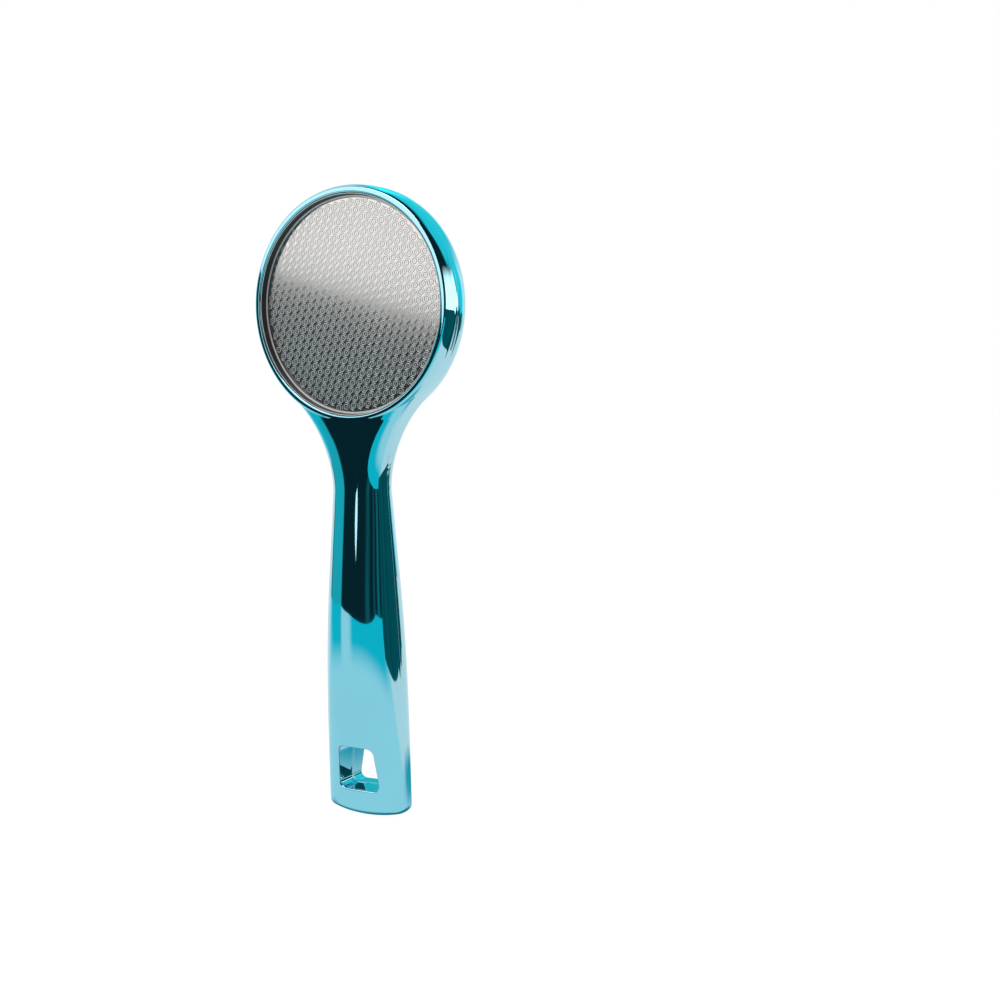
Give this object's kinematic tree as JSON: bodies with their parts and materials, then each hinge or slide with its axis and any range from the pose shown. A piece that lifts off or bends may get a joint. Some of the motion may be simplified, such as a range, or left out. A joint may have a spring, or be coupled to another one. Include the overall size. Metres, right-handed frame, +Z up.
{
  "type": "foot file",
  "caption": "Two-sided foot file: a round head with an etched steel plate set in each face, a flared neck and a plated, tapered handle with a hang hole near its end.",
  "frame": {"origin": "lowest point of the handle's end, on the plane where the two shells meet", "axes": "+Z up the handle to the head, -Y out of the coarse plate at the front, +X to the right seen from the front"},
  "size_m": [0.075, 0.0218, 0.2025],
  "materials": {
    "plated_body": "mirror-plated plastic under a clear blue lacquer",
    "etched_steel": "etched relief, satin",
    "ring_steel": "smooth, lightly grained",
    "foam_tape": "matt foam"
  },
  "bodies": {
    "root": {"front_shell": "plated_body", "rear_shell": "plated_body", "coarse_file_plate": "etched_steel", "coarse_plate_ring": "ring_steel", "coarse_adhesive_pad": "foam_tape", "fine_file_plate": "etched_steel", "fine_plate_ring": "ring_steel", "fine_adhesive_pad": "foam_tape"}
  },
  "joints": []
}
